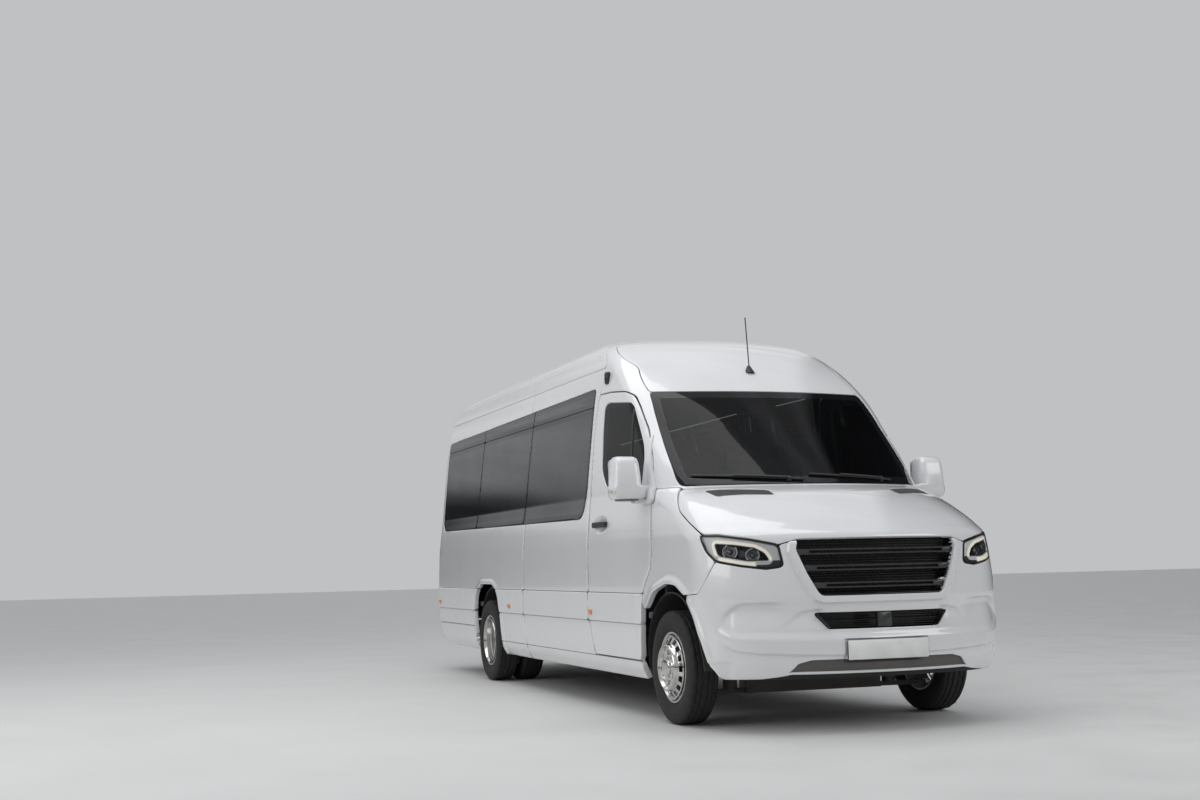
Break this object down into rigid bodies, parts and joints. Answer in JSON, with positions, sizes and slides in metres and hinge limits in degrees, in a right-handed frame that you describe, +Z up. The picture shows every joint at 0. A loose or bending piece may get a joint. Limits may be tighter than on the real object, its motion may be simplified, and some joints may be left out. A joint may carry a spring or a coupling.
{
  "type": "minibus",
  "caption": "Long high-roof passenger minibus with hinged cab doors, a sliding side door, hinged rear doors, a lifting bonnet and steered front wheels.",
  "frame": {"origin": "on the ground, midway along the length and across the width", "axes": "+X forward, +Y to the vehicle's left, +Z up"},
  "size_m": [7.3676, 2.4266, 2.7002],
  "materials": {
    "white_paint": "gloss",
    "dark_glass": "polished",
    "clear_glass": "polished",
    "lamp_glass": "polished",
    "red_lens": "gloss",
    "gloss_black": "gloss",
    "black_plastic": "matte",
    "grey_plastic": "matte",
    "floor_covering": "matte",
    "dark_steel": "satin",
    "steel": "satin",
    "cast_iron": "rough",
    "aluminium": "satin",
    "wheel_silver": "satin",
    "tyre": "matte",
    "seat_fabric": "woven"
  },
  "bodies": {
    "body": {"body_side_right": "white_paint", "body_side_left": "white_paint", "sliding_door": "white_paint", "side_glass": "dark_glass", "rear_bumper": "white_paint", "tail_lamps": "red_lens", "front_wings": "white_paint", "front_bumper": "white_paint", "windscreen_surround": "white_paint", "windscreen": "clear_glass", "roof_cap": "white_paint", "roof_panel": "white_paint", "headlamps": "lamp_glass", "grille": "gloss_black", "floor_pan": "floor_covering", "bulkhead": "dark_steel", "arch_liners": "black_plastic", "chassis_frame": "dark_steel", "floor_bearers": "dark_steel", "front_axle": "dark_steel", "rear_axle": "cast_iron", "engine_block": "cast_iron", "propeller_shaft": "dark_steel", "fuel_tank": "black_plastic", "radiator": "aluminium", "exhaust": "steel", "dashboard": "grey_plastic", "steering_wheel": "black_plastic", "cab_seats": "seat_fabric", "passenger_seats": "seat_fabric", "aerial": "black_plastic"},
    "cab_door_left": {"cab_door_left": "white_paint", "cab_glass_left": "clear_glass", "mirror_left": "white_paint"},
    "cab_door_right": {"cab_door_right": "white_paint", "cab_glass_right": "clear_glass", "mirror_right": "white_paint"},
    "rear_door_left": {"rear_door_left": "white_paint", "rear_glass_left": "dark_glass"},
    "rear_door_right": {"rear_door_right": "white_paint", "rear_glass_right": "dark_glass"},
    "bonnet": {"bonnet": "white_paint"},
    "steering_left": {"knuckle_left": "cast_iron"},
    "steering_right": {"knuckle_right": "cast_iron"},
    "wheel_front_left": {"tyre_front_left": "tyre", "rim_front_left": "wheel_silver", "wheel_disc_front_left": "wheel_silver"},
    "wheel_front_right": {"tyre_front_right": "tyre", "rim_front_right": "wheel_silver", "wheel_disc_front_right": "wheel_silver"},
    "wheels_rear_left": {"tyre_rear_left": "tyre", "rim_rear_left": "wheel_silver", "wheel_disc_rear_left": "wheel_silver"},
    "wheels_rear_right": {"tyre_rear_right": "tyre", "rim_rear_right": "wheel_silver", "wheel_disc_rear_right": "wheel_silver"}
  },
  "joints": [
    {"name": "cab_door_left_hinge", "type": "hinge", "parent": "body", "child": "cab_door_left", "pos_m": [2.5365, 0.925, 1.145], "axis": [0, 0, -1], "range_deg": [0, 70]},
    {"name": "cab_door_right_hinge", "type": "hinge", "parent": "body", "child": "cab_door_right", "pos_m": [2.5365, -0.925, 1.145], "axis": [0, 0, 1], "range_deg": [0, 70]},
    {"name": "rear_door_left_hinge", "type": "hinge", "parent": "body", "child": "rear_door_left", "pos_m": [-3.6715, 0.84, 0.8], "axis": [-0.0645, 0, -0.9979], "range_deg": [0, 180]},
    {"name": "rear_door_right_hinge", "type": "hinge", "parent": "body", "child": "rear_door_right", "pos_m": [-3.6715, -0.84, 0.8], "axis": [0.0645, 0, 0.9979], "range_deg": [0, 180]},
    {"name": "bonnet_hinge", "type": "hinge", "parent": "body", "child": "bonnet", "pos_m": [2.5965, 0, 1.435], "axis": [0, -1, 0], "range_deg": [0, 50]},
    {"name": "steer_left", "type": "hinge", "parent": "body", "child": "steering_left", "pos_m": [2.6565, 0.8, 0.349], "axis": [0, 0, 1], "range_deg": [-38, 38]},
    {"name": "front_wheel_spin_left", "type": "hinge", "parent": "steering_left", "child": "wheel_front_left", "pos_m": [2.6565, 0.862, 0.349], "axis": [0, 1, 0], "continuous": true},
    {"name": "rear_wheels_spin_left", "type": "hinge", "parent": "body", "child": "wheels_rear_left", "pos_m": [-1.6685, 0.77, 0.349], "axis": [0, 1, 0], "continuous": true},
    {"name": "steer_right", "type": "hinge", "parent": "body", "child": "steering_right", "pos_m": [2.6565, -0.8, 0.349], "axis": [0, 0, 1], "range_deg": [-38, 38]},
    {"name": "front_wheel_spin_right", "type": "hinge", "parent": "steering_right", "child": "wheel_front_right", "pos_m": [2.6565, -0.862, 0.349], "axis": [0, 1, 0], "continuous": true},
    {"name": "rear_wheels_spin_right", "type": "hinge", "parent": "body", "child": "wheels_rear_right", "pos_m": [-1.6685, -0.77, 0.349], "axis": [0, 1, 0], "continuous": true}
  ],
  "couplings": [
    {"joint": "steer_left", "follows": "steer_right", "ratio": 1}
  ]
}
